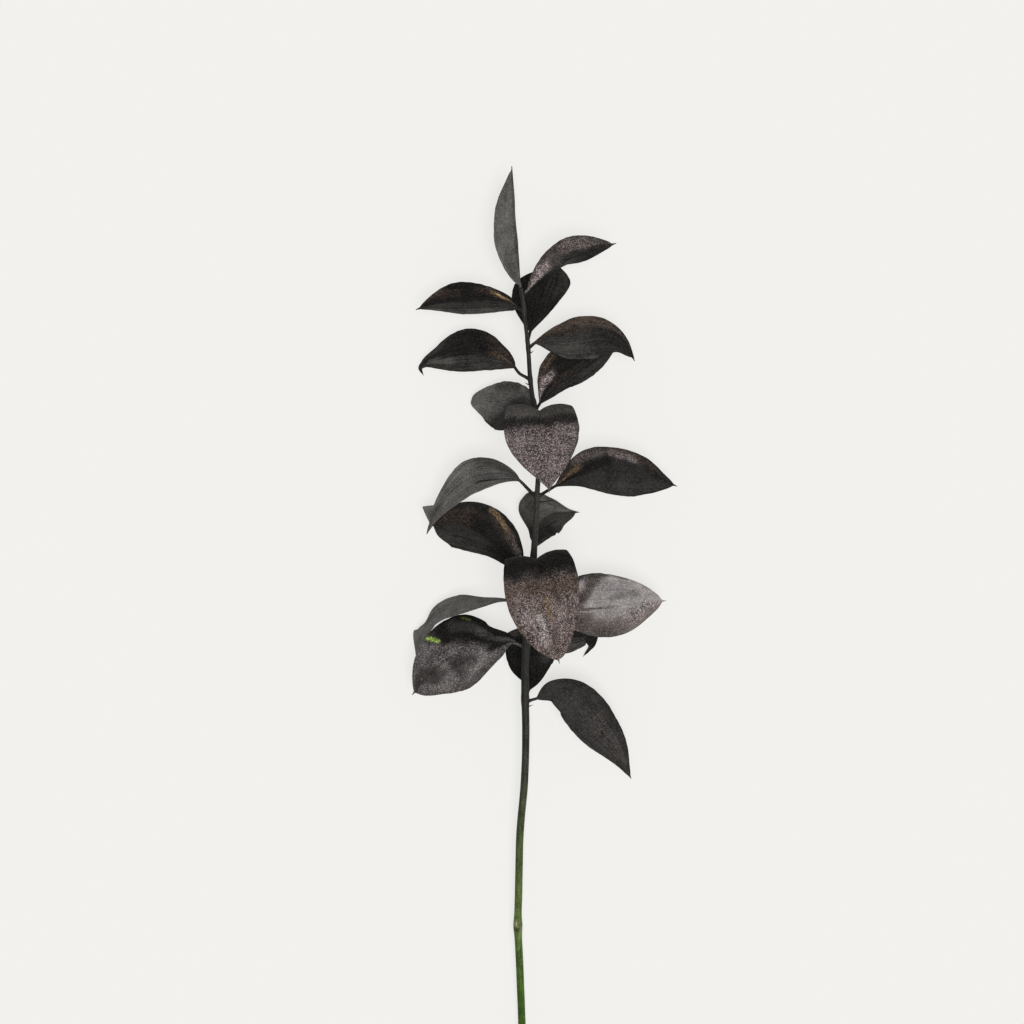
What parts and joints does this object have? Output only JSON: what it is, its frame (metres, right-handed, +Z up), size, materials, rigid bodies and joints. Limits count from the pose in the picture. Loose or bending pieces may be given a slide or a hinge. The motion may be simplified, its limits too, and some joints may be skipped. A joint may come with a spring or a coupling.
{
  "type": "dried ruscus stem",
  "caption": "Cut stem of broad-leaved ruscus, dried and sprayed black, lying flat: a straight woody stalk with pointed, curled leaves along its upper half.",
  "frame": {"origin": "on the surface the stem lies on, below the middle of its bounding box", "axes": "+Y along the stalk from the cut end to the tip, +Z up from the surface, +X to the right seen from above with the tip away"},
  "size_m": [0.1696, 0.6044, 0.0831],
  "materials": {
    "sprayed_stalk": "satin",
    "sprayed_leaf": "satin"
  },
  "bodies": {
    "root": {"stem": "sprayed_stalk", "leaf_01": "sprayed_leaf", "leaf_02": "sprayed_leaf", "leaf_03": "sprayed_leaf", "leaf_04": "sprayed_leaf", "leaf_05": "sprayed_leaf", "leaf_06": "sprayed_leaf", "leaf_07": "sprayed_leaf", "leaf_08": "sprayed_leaf", "leaf_09": "sprayed_leaf", "leaf_10": "sprayed_leaf", "leaf_11": "sprayed_leaf", "leaf_12": "sprayed_leaf", "leaf_13": "sprayed_leaf", "leaf_14": "sprayed_leaf", "leaf_15": "sprayed_leaf", "leaf_16": "sprayed_leaf", "leaf_17": "sprayed_leaf", "leaf_18": "sprayed_leaf", "leaf_19": "sprayed_leaf", "leaf_20": "sprayed_leaf"}
  },
  "joints": []
}
